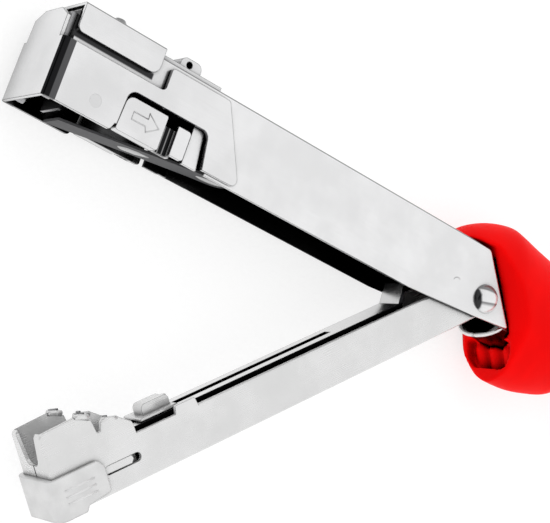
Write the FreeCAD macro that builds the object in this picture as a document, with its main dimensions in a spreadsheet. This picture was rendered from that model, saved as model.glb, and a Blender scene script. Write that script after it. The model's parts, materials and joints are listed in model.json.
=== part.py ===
"""Hammer tacker, opened for loading, as a parametric FreeCAD document. Units are millimetres.

Three groups of pieces share one lateral axis, the hinge pin at the origin of both working frames:
- the arm frame: x runs rearwards along the arm, y across it, z up through its top
- the magazine frame: the same, along the magazine
The tool lies open on its far side, on the grip. Its hinge pin stands upright, so the magazine can
swing freely and stays at whatever angle it is left at.
"""

import FreeCAD, Part
import math
import os

from FreeCAD import Placement, Rotation, Vector

DOC = FreeCAD.newDocument("hammer_tacker")

# ---------------------------------------------------------------- driving dimensions

SIZES = [
    # alias, value, meaning
    ("arm_slope", 22.84, "degrees between the arm and the row's length"),
    ("magazine_slope", 18.43, "degrees between the magazine and the row's length"),
    ("sheet_steel", 1.2, "thickness of the folded steel"),
    ("arm_width", 22.6, "outside width of the main channel"),
    ("arm_top", 17.0, "main channel's top above the hinge pin"),
    ("arm_bottom", -9.3, "main channel's lower edge"),
    ("arm_front", -178.0, "main channel's front end"),
    ("head_width", 26.0, "outside width of the head jacket"),
    ("head_front", -181.0, "outer face of the front plate"),
    ("head_wall", 1.25, "thickness of the head jacket"),
    ("head_bottom", -11.0, "lower rim of the head"),
    ("plate_top", 17.1, "top of the front plate"),
    ("cover_width", 25.2, "outside width of the head cover"),
    ("cover_front", -178.0, "front edge of the head cover"),
    ("cover_rear", -148.7, "rear edge of the head cover"),
    ("strap_thickness", 1.6, "thickness of the top strap"),
    ("strap_width", 18.0, "width of the top strap"),
    ("magazine_width", 17.6, "outside width of the magazine channel"),
    ("magazine_wall", 1.1, "thickness of the magazine channel"),
    ("magazine_bottom", -5.6, "underside of the magazine channel"),
    ("magazine_top", 8.5, "top edge of the magazine's walls"),
    ("nose_front", -172.8, "front face of the magazine's nose"),
    ("rail_width", 10.0, "outside width of the staple rail"),
    ("rail_top", 9.4, "top of the staple rail"),
    ("rail_wall", 0.9, "thickness of the staple rail"),
    ("rail_front", -142.0, "front end of the staple rail"),
    ("rail_rear", -31.0, "start of the rail's upturned end"),
    ("shoe_width", 20.6, "outside width of the nose shoe"),
    ("shoe_front", -174.6, "front face of the nose shoe"),
    ("shoe_rear", -156.3, "rear edge of the nose shoe"),
    ("shoe_bottom", -6.4, "working face of the nose shoe"),
    ("shoe_top", 6.3, "top edge of the nose shoe"),
    ("pin_diameter", 6.0, "hinge pin shank"),
    ("pin_clearance", 0.05, "radial running clearance on the hinge pin"),
    ("pin_head_diameter", 10.0, "domed heads of the hinge pin"),
    ("pin_head_height", 2.3, "height of the domed heads"),
    ("tube_front", 11.0, "mouth of the handle tube"),
    ("tube_rear", 118.0, "rear end of the handle tube"),
    ("tube_width", 20.0, "outside width of the handle tube"),
    ("tube_wall", 1.2, "thickness of the handle tube"),
    ("tube_mouth_bottom", -10.2, "underside of the handle tube at its mouth"),
    ("tube_bottom", -3.0, "underside of the handle tube in the grip"),
    ("grip_rear", 133.0, "butt end of the grip"),
    ("latch_front", -155.3, "front edge of the latch bridge"),
    ("latch_rear", -137.0, "rear edge of the latch bridge"),
    ("blade_thickness", 1.0, "driver blade"),
    ("blade_width", 10.6, "driver blade, one staple crown wide"),
    ("blade_front", -171.4, "front face of the driver blade"),
    ("blade_end", -10.5, "lower end of the driver blade"),
    ("pusher_front", -138.0, "front face of the pusher"),
]

SHEET = DOC.addObject("Spreadsheet::Sheet", "Sizes")
for row, (alias, value, meaning) in enumerate(SIZES, start=1):
    SHEET.set(f"A{row}", alias)
    SHEET.set(f"B{row}", str(value))
    SHEET.set(f"C{row}", meaning)
    SHEET.setAlias(f"B{row}", alias)
DOC.recompute()


def size(alias):
    """A driving dimension from the sheet."""
    return float(SHEET.get(alias))


# ---------------------------------------------------------------- working frames

ON_ITS_SIDE = Rotation(Vector(1, 0, 0), -90)
ARM = Placement(Vector(), ON_ITS_SIDE * Rotation(Vector(0, 1, 0), size("arm_slope")))
MAGAZINE = Placement(Vector(), ON_ITS_SIDE * Rotation(Vector(0, 1, 0), -size("magazine_slope")))
PIECES = []


def finished(piece, frame):
    """Puts a sub-part into its working frame and lists it for export."""
    piece.Placement = frame
    PIECES.append(piece)
    return piece


# ---------------------------------------------------------------- sketch helpers


def new_body(label):
    body = DOC.addObject("PartDesign::Body", label)
    body.Label = label
    return body


def sketch_on(body, role, offset=0.0):
    """A sketch on one of the body's origin planes, moved along that plane's normal."""
    plane = next(f for f in body.Origin.OriginFeatures if f.Role == role)
    sketch = body.newObject("Sketcher::SketchObject", "sketch")
    sketch.AttachmentSupport = [(plane, "")]
    sketch.MapMode = "FlatFace"
    sketch.AttachmentOffset = Placement(Vector(0, 0, offset), Rotation())
    return sketch


def corner(before, at, after, radius):
    """The two tangent points and the mid point of an arc that rounds the corner at a point."""
    into = (before - at).normalize()
    out = (after - at).normalize()
    half = into.getAngle(out) / 2
    reach = radius / math.tan(half)
    middle = (into + out).normalize()
    centre = at + middle * (radius / math.sin(half))
    return at + into * reach, centre - middle * radius, at + out * reach


def draw_outline(sketch, points):
    """A closed outline. A point is (x, y), or (x, y, r) for a corner rounded to radius r."""
    count = len(points)
    places = [Vector(p[0], p[1], 0) for p in points]
    ends = []
    for i, point in enumerate(points):
        if len(point) < 3:
            ends.append((places[i], places[i]))
            continue
        start, middle, end = corner(places[i - 1], places[i], places[(i + 1) % count], point[2])
        sketch.addGeometry(Part.Arc(start, middle, end))
        ends.append((start, end))
    for i in range(count):
        start = ends[i][1]
        end = ends[(i + 1) % count][0]
        if (end - start).Length > 1e-6:
            sketch.addGeometry(Part.LineSegment(start, end))
    return sketch


def draw_circle(sketch, x, y, radius):
    sketch.addGeometry(Part.Circle(Vector(x, y, 0), Vector(0, 0, 1), radius))


def draw_slot(sketch, x0, x1, y, radius):
    """A round-ended slot along x."""
    draw_outline(sketch, [(x0, y - radius, radius), (x1, y - radius, radius),
                          (x1, y + radius, radius), (x0, y + radius, radius)])


def pad(body, sketch, length, symmetric=True):
    """Grows a sketch by a length, which is a number or the name of a driving dimension."""
    feature = body.newObject("PartDesign::Pad", "pad")
    feature.Profile = sketch
    feature.SideType = "Symmetric" if symmetric else "One side"
    set_length(feature, length)
    DOC.recompute()
    return feature


def set_length(feature, length):
    if isinstance(length, str):
        feature.setExpression("Length", length)
    else:
        feature.Length = length


def cut(body, sketch, length, symmetric=True, flipped=False):
    """Cuts a sketch out of the body, and stops if nothing was removed."""
    before = body.Shape.Volume
    feature = body.newObject("PartDesign::Pocket", "pocket")
    feature.Profile = sketch
    feature.SideType = "Symmetric" if symmetric else "One side"
    feature.Reversed = flipped
    set_length(feature, length)
    DOC.recompute()
    if body.Shape.Volume > before - 1e-3:
        raise RuntimeError(f"a pocket in {body.Label} removed nothing")
    return feature


def fillet(body, radius, chosen):
    """Rounds the edges of the body's last feature that a test picks."""
    base = body.Tip
    names = [f"Edge{i}" for i, edge in enumerate(base.Shape.Edges, start=1) if chosen(edge)]
    if not names:
        raise RuntimeError(f"no edge to round on {body.Label}")
    feature = body.newObject("PartDesign::Fillet", "fillet")
    feature.Base = (base, names)
    feature.Radius = radius
    DOC.recompute()
    return feature


def along(edge, axis):
    """True for a straight edge along the axis: 0 is x, 1 is y, 2 is z."""
    if edge.Curve.TypeId != "Part::GeomLine":
        return False
    return abs(abs(edge.Curve.Direction[axis]) - 1) < 1e-6


def side_pad(label, points, width):
    """A body that is a side-view outline grown evenly to both sides of the middle."""
    body = new_body(label)
    pad(body, draw_outline(sketch_on(body, "XZ_Plane"), points), width)
    return body


def side_cut(body, points, width):
    cut(body, draw_outline(sketch_on(body, "XZ_Plane"), points), width)


def side_hole(body, x, z, radius, width=100):
    sketch = sketch_on(body, "XZ_Plane")
    draw_circle(sketch, x, z, radius)
    cut(body, sketch, width)


def top_hole(body, places, radius, top, depth):
    """Round holes straight down from a height."""
    sketch = sketch_on(body, "XY_Plane", top)
    for x, y in places:
        draw_circle(sketch, x, y, radius)
    cut(body, sketch, depth, symmetric=False)


def revolved(label, x, y, profile):
    """A turned piece about a vertical line, from half-profile points (radius, z)."""
    outline = [Vector(r, 0, z) for r, z in profile]
    face = Part.Face(Part.makePolygon(outline + outline[:1]))
    piece = DOC.addObject("Part::Feature", label)
    piece.Label = label
    shapes = []
    for dx, dy in zip(x, y):
        solid = face.revolve(Vector(), Vector(0, 0, 1), 360)
        solid.translate(Vector(dx, dy, 0))
        shapes.append(solid)
    piece.Shape = shapes[0] if len(shapes) == 1 else Part.makeCompound(shapes)
    return piece


def shaped(label, *solids):
    """A piece whose shape is one solid or a group of separate solids."""
    piece = DOC.addObject("Part::Feature", label)
    piece.Label = label
    piece.Shape = Part.makeCompound(list(solids))
    return piece


def cylinder_across(x, z, radius, y0, y1):
    return Part.makeCylinder(radius, y1 - y0, Vector(x, y0, z), Vector(0, 1, 0))


# ---------------------------------------------------------------- shared places

LATCH_ZONE = (-157.5, -130.6)  # stretch of the head where the main channel's walls are cut away
LATCH_ZONE_TOP = 6.8
CROSSBAR = (-124.5, 12.0)
CROSSBAR_RADIUS = 1.5
COVER_RIVETS = [(-163.5, -7.0), (-163.5, 7.0)]
STRAP_RIVETS = [(-145.6, 0.0), (-128.5, 0.0)]
TONGUE_RIVETS = [(-19.5, -5.0), (-19.5, 5.0)]
HOLDER_RIVETS = [(0.0, 7.2), (0.0, 12.4)]
RAIL_RIVETS = [(-120.0, 0.0), (-50.0, 0.0)]
RIVET_RADIUS = 1.5
# slot in each arm wall, behind the head's window
SIDE_SLOT = [(-126.8, 3.2), (-123.6, 3.2), (-121.4, -12), (-124.8, -12)]
SHOE_PIN = (-165.0, 0.0)
SHOE_PIN_RADIUS = 1.25
SHOE_PIN_INSET = 0.6  # pin ends below the shoe's sides
GAP = 0.1  # between neighbours that are fixed to each other but not pressed together
SLIDE_GAP = 0.35  # between the rail and what slides along it
TUBE_STEP = (30.0, 48.0)  # stretch in which the handle tube gets shallower
LUG_REAR = -120.4  # raised lug on each magazine wall
LUG_FRONT = -127.6
LUG_TOP = 11.0
PUSHER_LENGTH = 13.5
KEY_START = 4.0  # pusher key behind the pusher's front face
KEY_LENGTH = 6.0
PUSHER_TRAVEL = 66.0
WEB_WIDTH = 2.4  # neck that joins the pusher to its key through the rail's slot
ROD_HEIGHT = 6.0
ROD_RADIUS = 1.0
PLUG_FRONT = -38.5
SPRING_WIRE = 0.6
RAIL_FOOT_THICKNESS = 1.5
SPRING_TURNS = 30


def arm_inside():
    return size("arm_top") - size("sheet_steel")


def strap_top():
    return size("arm_top") + size("strap_thickness")


# ---------------------------------------------------------------- arm pieces


def main_channel():
    """The arm: a folded channel, open below, with its rear end cut on a slant."""
    top = size("arm_top")
    bottom = size("arm_bottom")
    front = size("arm_front")
    zone_front, zone_rear = LATCH_ZONE
    body = side_pad("main_channel", [
        (front, top), (front, 4.0), (zone_front, 4.0), (zone_front, LATCH_ZONE_TOP),
        (zone_rear, LATCH_ZONE_TOP), (zone_rear, bottom), (-33.0, bottom),
        (15.0, -6.0, 0.8), (-3.4, top, 2.5),
    ], "Sizes.arm_width")
    side_cut(body, [(-190, arm_inside()), (-190, -30), (40, -30), (40, arm_inside())],
             "Sizes.arm_width - 2 * Sizes.sheet_steel")
    side_cut(body, SIDE_SLOT, "Sizes.arm_width + 2")
    side_hole(body, 0, 0, size("pin_diameter") / 2)
    side_hole(body, *CROSSBAR, CROSSBAR_RADIUS)
    top_hole(body, STRAP_RIVETS + COVER_RIVETS, RIVET_RADIUS, top, 3)
    top_hole(body, TONGUE_RIVETS, RIVET_RADIUS, top, 3)
    half = size("arm_width") / 2
    fillet(body, 1.0, lambda e: along(e, 0) and e.Length > 100
           and abs(e.CenterOfMass.z - top) < 0.01 and abs(abs(e.CenterOfMass.y) - half) < 0.01)
    return finished(body, ARM)


def head_jacket():
    """Bent jacket round the head: the front plate and two windowed side walls."""
    front = size("head_front")
    wall = size("head_wall")
    rim = size("head_bottom")
    body = side_pad("head_jacket", [
        (front, rim), (-157.6, rim, 1.0), (-156.6, -8.6), (-109.9, -8.6, 2.0), (-122.7, 15.0, 1.0),
        (-144.8, 15.0, 1.0), (-144.8, 7.4, 1.5), (front + wall, 7.4), (front + wall, size("plate_top")),
        (front, size("plate_top")),
    ], "Sizes.head_width")
    inner = front + wall
    side_cut(body, [(inner, -30), (-90, -30), (-90, 30), (inner, 30)],
             "Sizes.head_width - 2 * Sizes.head_wall")
    side_cut(body, [(-156.2, -12), (-155.6, 2.8, 3.0), (-126.2, 2.8, 2.5), (-123.6, -12)],
             "Sizes.head_width + 2")
    trim_front_plate(body)
    half = size("head_width") / 2
    inside = half - wall
    fillet(body, 0.6, lambda e: along(e, 2) and abs(e.CenterOfMass.x - inner) < 0.01
           and abs(abs(e.CenterOfMass.y) - inside) < 0.01)
    fillet(body, 1.8, lambda e: along(e, 2) and abs(e.CenterOfMass.x - front) < 0.01
           and abs(abs(e.CenterOfMass.y) - half) < 0.01)
    return finished(body, ARM)


def trim_front_plate(body):
    """Narrows the front plate above the side walls and slopes its top corners."""
    wide = size("head_width")
    for side in (-1, 1):
        sketch = sketch_on(body, "YZ_Plane", size("head_front") - 1)
        draw_outline(sketch, [(side * 10.0, 7.4), (side * 9.8, 14.4), (side * 5.0, 17.1),
                              (side * 5.0, 25), (side * wide, 25), (side * wide, 7.4)])
        cut(body, sketch, 3, symmetric=False, flipped=True)


def head_cover():
    """Folded cap over the top of the head."""
    front = size("cover_front") + 0.3
    rear = size("cover_rear")
    top = strap_top() + 1.0
    body = side_pad("head_cover", [(front, 10.6, 2.0), (rear, 10.6, 3.0), (rear, top), (front, top)],
                    "Sizes.cover_width")
    side_cut(body, [(-190, 0), (-140, 0), (-140, strap_top()), (-190, strap_top())],
             "Sizes.arm_width + 0.2")
    top_hole(body, COVER_RIVETS, RIVET_RADIUS, top, 3)
    half = size("cover_width") / 2
    fillet(body, 0.9, lambda e: along(e, 0) and abs(e.CenterOfMass.z - top) < 0.01
           and abs(abs(e.CenterOfMass.y) - half) < 0.01)
    return finished(body, ARM)


def top_strap():
    """Flat strap under the cover, with a rolled eye standing on its rear part."""
    base = size("arm_top")
    top = strap_top()
    body = side_pad("top_strap", [(-177.0, base), (-125.0, base), (-125.0, top), (-177.0, top)],
                    "Sizes.strap_width")
    pad(body, draw_outline(sketch_on(body, "XZ_Plane"), [
        (-140.4, top - 0.2), (-140.4, top + 3.6, 2.2), (-132.6, top + 3.6, 2.2), (-132.6, top - 0.2),
    ]), "Sizes.strap_width - 3")
    side_hole(body, -137.2, top + 1.7, 1.1)
    top_hole(body, COVER_RIVETS + STRAP_RIVETS, RIVET_RADIUS, top, 3)
    return finished(body, ARM)


def rivets(label, places, frame, under, over, head_radius, head_height, tail_height=0.0):
    """Domed rivets from a lower to an upper surface, with a low tail below."""
    profile = [(0, under - tail_height), (RIVET_RADIUS + 0.6, under - tail_height),
               (RIVET_RADIUS + 0.6, under), (RIVET_RADIUS, under), (RIVET_RADIUS, over),
               (head_radius, over), (head_radius, over + head_height * 0.35),
               (head_radius * 0.6, over + head_height), (0, over + head_height)]
    if tail_height == 0:
        profile = [(0, under)] + profile[3:]
    xs = [x for x, _ in places]
    ys = [y for _, y in places]
    return finished(revolved(label, xs, ys, profile), frame)


def driver_holder():
    """Bracket behind the front plate: two lugs at the rim and a nose block that holds the blade."""
    face = size("head_front") + size("head_wall")
    body = new_body("driver_holder")
    outline = [(-9.8, arm_inside()), (-9.8, -10.2, 1.5), (-6.6, -10.2, 1.5), (-6.6, 3.0),
               (6.6, 3.0), (6.6, -10.2, 1.5), (9.8, -10.2, 1.5), (9.8, arm_inside())]
    sketch = sketch_on(body, "YZ_Plane", face)
    pad(body, draw_outline(sketch, outline), 3.6, symmetric=False)
    block = [(-2.6, arm_inside()), (-2.6, 4.2), (2.6, 4.2), (2.6, arm_inside())]
    sketch = sketch_on(body, "YZ_Plane", face)
    pad(body, draw_outline(sketch, block), size("blade_front") - face, symmetric=False)
    drill_along(body, HOLDER_RIVETS, face)
    return finished(body, ARM)


def drill_along(body, places, x):
    """Rivet holes along x."""
    sketch = sketch_on(body, "YZ_Plane", x)
    for y, z in places:
        draw_circle(sketch, y, z, RIVET_RADIUS)
    cut(body, sketch, 40)


def driver_blade():
    """Flat blade that pushes one staple out through the nose."""
    half = size("blade_width") / 2
    low = size("blade_end")
    body = new_body("driver_blade")
    sketch = sketch_on(body, "YZ_Plane", size("blade_front"))
    draw_outline(sketch, [(-half, arm_inside()), (-half, low), (half, low), (half, arm_inside())])
    pad(body, sketch, "Sizes.blade_thickness", symmetric=False)
    drill_along(body, HOLDER_RIVETS, size("blade_front"))
    return finished(body, ARM)


def driver_rivets():
    """Two rivets that hold the blade to its holder."""
    face = size("head_front") + size("head_wall")
    end = size("blade_front") + size("blade_thickness")
    solids = []
    for y, z in HOLDER_RIVETS:
        shank = Part.makeCylinder(RIVET_RADIUS, end - face, Vector(face, y, z), Vector(1, 0, 0))
        head = Part.makeCone(2.3, 1.5, 1.0, Vector(end, y, z), Vector(1, 0, 0))
        solids.append(shank.fuse(head))
    return finished(shaped("driver_rivets", *solids), ARM)


def return_spring():
    """Bowed leaf spring under the arm, hooked round the crossbar."""
    lower = [(-169.6, -13.2), (-161.0, -12.2), (-140.0, -9.6), (-106.0, -5.7), (-102.4, -2.6),
             (-121.4, 12.6)]
    thickness = 0.8
    upper = [(x, z + thickness) for x, z in lower[:4]] + [(-103.7, -2.4), (-122.2, 11.8)]
    body = side_pad("return_spring", lower + upper[::-1], 9.2)
    return finished(body, ARM)


def spring_crossbar():
    """Bar across the arm that carries the return spring's rear hook."""
    reach = size("head_width") / 2 - size("head_wall") - GAP / 2
    bar = cylinder_across(*CROSSBAR, CROSSBAR_RADIUS, -reach, reach)
    return finished(shaped("spring_crossbar", bar), ARM)


def hinge_pin():
    """Rivet through arm and magazine, with a dome on both ends."""
    half = size("arm_width") / 2
    radius = size("pin_diameter") / 2
    head = size("pin_head_diameter") / 2
    height = size("pin_head_height")
    sphere = (head * head + height * height) / (2 * height)
    solid = cylinder_across(0, 0, radius, -half, half)
    for side in (-1, 1):
        ball = Part.makeSphere(sphere, Vector(0, side * (half + height - sphere), 0))
        slab = Part.makeBox(4 * head, height, 4 * head,
                            Vector(-2 * head, half if side > 0 else -half - height, -2 * head))
        solid = solid.fuse(ball.common(slab))
    return finished(shaped("hinge_pin", solid.removeSplitter()), ARM)


def hinge_washers():
    """Thin washers that centre the magazine between the arm's walls."""
    inner = size("magazine_width") / 2 + 0.1
    outer = size("arm_width") / 2 - size("sheet_steel")
    rings = []
    for low, high in ((inner, outer), (-outer, -inner)):
        ring = cylinder_across(0, 0, 5.5, low, high)
        rings.append(ring.cut(cylinder_across(0, 0, size("pin_diameter") / 2, low - 1, high + 1)))
    return finished(shaped("hinge_washers", *rings), ARM)


def handle_tube():
    """Steel tube in the grip, deep at its mouth, with a tongue forward under the arm's top."""
    front = size("tube_front")
    rear = size("tube_rear")
    wall = size("tube_wall")
    top = arm_inside()
    low = size("tube_mouth_bottom")
    shallow = size("tube_bottom")
    step_front, step_rear = TUBE_STEP
    body = side_pad("handle_tube", [
        (front, top), (front, low), (step_front, low), (step_rear, shallow), (rear, shallow), (rear, top),
    ], "Sizes.tube_width")
    fillet(body, 4.0, lambda e: along(e, 0) and abs(e.CenterOfMass.z - low) < 0.01)
    step_shift = 0.4
    side_cut(body, [
        (front - 5, top - wall), (front - 5, low + wall), (step_front - step_shift, low + wall),
        (step_rear - step_shift, shallow + wall), (rear + 5, shallow + wall), (rear + 5, top - wall),
    ], "Sizes.tube_width - 2 * Sizes.tube_wall - 1.6")
    tongue = [(-24.0, top), (front + 2, top), (front + 2, top - wall), (-24.0, top - wall)]
    pad(body, draw_outline(sketch_on(body, "XZ_Plane"), tongue), "Sizes.tube_width - 5")
    top_hole(body, TONGUE_RIVETS, RIVET_RADIUS, top, 2)
    return finished(body, ARM)


def grip_sections():
    """Cross-sections of the grip along the arm: x, top, bottom, half width."""
    return [(-14.0, 20.0, -19.0, 12.0), (-3.0, 27.0, -22.5, 15.5), (10.0, 30.0, -23.0, 17.5),
            (26.0, 28.5, -23.0, 17.0), (41.0, 27.0, -20.0, 16.0), (58.0, 25.5, -11.0, 15.0),
            (76.0, 24.0, -7.5, 14.5), (98.0, 22.5, -8.0, 15.0), (117.0, 21.5, -11.5, 16.0),
            (126.0, 20.5, -13.0, 16.0), (size("grip_rear"), 16.0, -9.5, 12.5)]


def grip():
    """Moulded grip with a flared guard, pulled over the handle tube."""
    body = new_body("grip")
    sketches = []
    for x, top, bottom, half in grip_sections():
        sketch = sketch_on(body, "YZ_Plane", x)
        middle = (top + bottom) / 2
        rise = (top - bottom) / 2
        ends = (Vector(0, middle + rise, 0), Vector(half, middle, 0))
        if half > rise:
            ends = (ends[1], ends[0])
        sketch.addGeometry(Part.Ellipse(ends[0], ends[1], Vector(0, middle, 0)))
        sketches.append(sketch)
    loft = body.newObject("PartDesign::AdditiveLoft", "loft")
    loft.Profile = sketches[0]
    loft.Sections = sketches[1:]
    DOC.recompute()
    arm_edge_top = (-3.0, 17.5)
    arm_edge_low = (15.6, -5.8)
    side_cut(body, [(-60, 17.5), arm_edge_top, arm_edge_low, (20.6, -18), (23, -60), (-60, -60)], 60)
    clear = GAP + size("tube_width") / 2
    top = arm_inside() + GAP
    mouth = size("tube_mouth_bottom") - GAP
    low = size("tube_bottom") - GAP
    rear = size("tube_rear") + GAP
    step_front, step_rear = TUBE_STEP
    side_cut(body, [(-10, top), (-10, mouth), (step_front, mouth), (step_rear, low), (rear, low),
                    (rear, top)], 2 * clear)
    return finished(body, ARM)


# ---------------------------------------------------------------- latch pieces


def latch_slider():
    """Bridge over the nose with a plate in each side window and a finger tab behind each plate."""
    front = size("latch_front")
    rear = size("latch_rear")
    leg_rear = -142.0
    crown = 13.0
    low = -9.9
    leg_outside = size("arm_width") - 2 * size("sheet_steel") - 2 * SLIDE_GAP
    body = side_pad("latch_slider", [
        (front + 2, crown), (rear, crown), (rear, crown - 1.4), (leg_rear, crown - 1.4), (leg_rear, low),
        (front + 2, low),
    ], leg_outside)
    plate = draw_outline(sketch_on(body, "XZ_Plane"), [
        (-155.8, low, 0.8), (-140.6, low, 0.8), (-140.6, 1.2, 0.6), (-155.2, 1.2, 2.6)])
    pad(body, plate, 25.2)
    bend = [(-141.0, low), (-135.4, low), (-135.4, -1.4), (-141.0, -1.4)]
    pad(body, draw_outline(sketch_on(body, "XZ_Plane"), bend), "Sizes.arm_width")
    nose_room = size("magazine_width") + 2 * SLIDE_GAP
    side_cut(body, [(-170, crown - 1.4), (-120, crown - 1.4), (-120, -20), (-170, -20)], nose_room)
    add_finger_tabs(body)
    return finished(body, ARM)


def add_finger_tabs(body):
    """A tab behind each latch plate, standing clear outside the main channel's wall."""
    tab = [(-136.4, -9.3), (-131.6, -9.3, 1.0), (-131.6, 0.0, 1.0), (-136.4, 0.0)]
    root = [(-136.4, -9.3), (-135.4, -9.3), (-135.4, -1.4), (-136.4, -1.4)]
    inner = size("arm_width") / 2 - 0.3
    tab_inner = size("arm_width") / 2 + SLIDE_GAP
    outer = size("head_width") / 2 - 0.1
    for outline, start in ((root, inner), (tab, tab_inner)):
        thickness = outer - start
        for outer_y in (outer, -start):
            sketch = sketch_on(body, "XZ_Plane", -outer_y)
            pad(body, draw_outline(sketch, outline), thickness, symmetric=False)


def coil(radius, wire, pitch, turns, start, direction):
    """A helical spring."""
    helix = Part.makeHelix(pitch, pitch * turns, radius)
    profile = Part.Wire([Part.makeCircle(wire / 2, Vector(radius, 0, 0), Vector(0, 1, 0))])
    solid = Part.Wire(helix).makePipeShell([profile], True, True)
    solid.Placement = Placement(start, Rotation(Vector(0, 0, 1), direction))
    return solid


def latch_spring():
    """Small coil that pushes the latch forward, between the latch bridge and the crossbar."""
    start = size("latch_rear") + 0.3
    end = CROSSBAR[0] - CROSSBAR_RADIUS - 0.3
    turns = 12
    solid = coil(1.0, 0.4, (end - start) / turns, turns, Vector(start, 0, 12.3), Vector(1, 0, 0))
    return finished(shaped("latch_spring", solid), ARM)


# ---------------------------------------------------------------- magazine pieces


def magazine_channel():
    """Channel, open above, whose side walls rise at the front as the nose cheeks."""
    bottom = size("magazine_bottom")
    top = size("magazine_top")
    nose = size("nose_front")
    width = size("magazine_width")
    body = side_pad("magazine_channel", [
        (nose, bottom), (4.0, bottom, 4.0), (9.2, -1.0, 5.0), (8.0, top, 5.0),
        (LUG_REAR + 0.6, top), (LUG_REAR, LUG_TOP, 0.5), (LUG_FRONT, LUG_TOP, 0.5),
        (LUG_FRONT - 0.6, top), (-142.6, top), (-142.9, 12.4),
        (-147.0, 15.6, 1.0), (-152.6, 16.6, 1.0), (-154.3, 12.0, 0.5), (-155.4, 17.8, 0.5),
        (-160.6, 20.4, 1.0), (nose, 19.8, 1.5),
    ], "Sizes.magazine_width")
    inner = "Sizes.magazine_width - 2 * Sizes.magazine_wall"
    wall = size("magazine_wall")
    side_cut(body, [(nose + wall, bottom + wall), (20, bottom + wall), (20, 40), (nose + wall, 40)], inner)
    notch_nose(body)
    side_hole(body, 0, 0, size("pin_diameter") / 2 + size("pin_clearance"))
    slot = sketch_on(body, "XZ_Plane")
    draw_slot(slot, -156.0, -143.2, 1.7, 1.4)
    cut(body, slot, width + 2)
    top_hole(body, RAIL_RIVETS, RIVET_RADIUS, bottom + 3, 6)
    side_hole(body, *SHOE_PIN, SHOE_PIN_RADIUS)
    staple_exit(body, bottom + 3, 6)
    half = width / 2
    fillet(body, 0.9, lambda e: along(e, 0) and e.Length > 60
           and abs(e.CenterOfMass.z - bottom) < 0.01 and abs(abs(e.CenterOfMass.y) - half) < 0.01)
    fillet(body, 0.9, lambda e: along(e, 2) and e.Length > 10
           and abs(e.CenterOfMass.x - nose) < 0.01 and abs(abs(e.CenterOfMass.y) - half) < 0.01)
    return finished(body, MAGAZINE)


def notch_nose(body):
    """Round-bottomed notch between the nose's front flanges, and the seam below it."""
    sketch = sketch_on(body, "YZ_Plane", size("nose_front") - 1)
    mouth = 5.4
    foot = 3.2
    draw_outline(sketch, [(-mouth, 30), (-mouth, 19.0), (-foot, 9.8, 2.4), (foot, 9.8, 2.4), (mouth, 19.0),
                          (mouth, 30)])
    cut(body, sketch, 4, symmetric=False, flipped=True)
    sketch = sketch_on(body, "YZ_Plane", size("nose_front") - 1)
    draw_outline(sketch, [(-0.25, 12), (-0.25, 4), (0.25, 4), (0.25, 12)])
    cut(body, sketch, 4, symmetric=False, flipped=True)


def staple_exit(body, height, depth):
    """Slot that the driven staple leaves by, just behind the nose's front wall."""
    sketch = sketch_on(body, "XY_Plane", height)
    half = size("blade_width") / 2 + 0.4
    back = size("nose_front") + size("magazine_wall")
    draw_outline(sketch, [(back, -half), (back + 1.8, -half), (back + 1.8, half), (back, half)])
    cut(body, sketch, depth, symmetric=False)


def nose_shoe():
    """Rounded cap round the magazine's nose, with the working face below."""
    front = size("shoe_front")
    rear = size("shoe_rear")
    low = size("shoe_bottom")
    top = size("shoe_top")
    body = side_pad("nose_shoe", [(front, low), (-168.0, low), (-165.4, low, 0.8), (-164.4, low + 1.6, 0.8),
                                  (rear, low + 2.6, 0.8), (rear, top - 2.2, 1.6), (rear - 1.8, top, 1.2),
                                  (front, top)], "Sizes.shoe_width")
    clear = 0.02
    seat_front = size("nose_front") - clear
    seat_low = size("magazine_bottom") - clear
    side_cut(body, [(seat_front, seat_low), (-150, seat_low), (-150, 30), (seat_front, 30)],
             size("magazine_width") + 2 * clear)
    side_hole(body, *SHOE_PIN, SHOE_PIN_RADIUS, size("shoe_width") - 2 * SHOE_PIN_INSET)
    staple_exit(body, low + 4, 8)
    half = size("shoe_width") / 2
    fillet(body, 3.0, lambda e: along(e, 2) and abs(e.CenterOfMass.x - front) < 0.01
           and abs(abs(e.CenterOfMass.y) - half) < 0.01)
    return finished(body, MAGAZINE)


def shoe_pin():
    """Pin across the nose that keeps the shoe on."""
    reach = size("shoe_width") / 2 - SHOE_PIN_INSET
    pin = cylinder_across(*SHOE_PIN, SHOE_PIN_RADIUS, -reach, reach)
    return finished(shaped("shoe_pin", pin), MAGAZINE)


def staple_rail():
    """Inverted channel that the staples straddle, with its rear end turned up."""
    top = size("rail_top")
    wall = size("rail_wall")
    base = size("magazine_bottom") + size("magazine_wall")
    front = size("rail_front")
    rear = size("rail_rear")
    lip = 15.2
    body = side_pad("staple_rail", [
        (front, top), (front, 1.5), (front + 3, base), (rear, base), (rear, top - wall),
        (rear + 3.5, lip - wall), (rear + 3.0, lip), (rear - 1.5, top),
    ], "Sizes.rail_width")
    side_cut(body, [
        (front - 5, base - 1), (rear + 2, base - 1), (rear + 2, base + 0.01), (rear - 0.01, base + wall),
        (rear - 0.01, top - wall), (front - 5, top - wall),
    ], "Sizes.rail_width - 2 * Sizes.rail_wall")
    slot_rear = size("pusher_front") + KEY_START + KEY_LENGTH + PUSHER_TRAVEL + 2
    slot_half = WEB_WIDTH / 2 + SLIDE_GAP
    slot = sketch_on(body, "XY_Plane", top + 1)
    draw_outline(slot, [(front - 5, -slot_half), (slot_rear, -slot_half), (slot_rear, slot_half),
                        (front - 5, slot_half)])
    cut(body, slot, wall + 2, symmetric=False)
    return finished(body, MAGAZINE)


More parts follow.
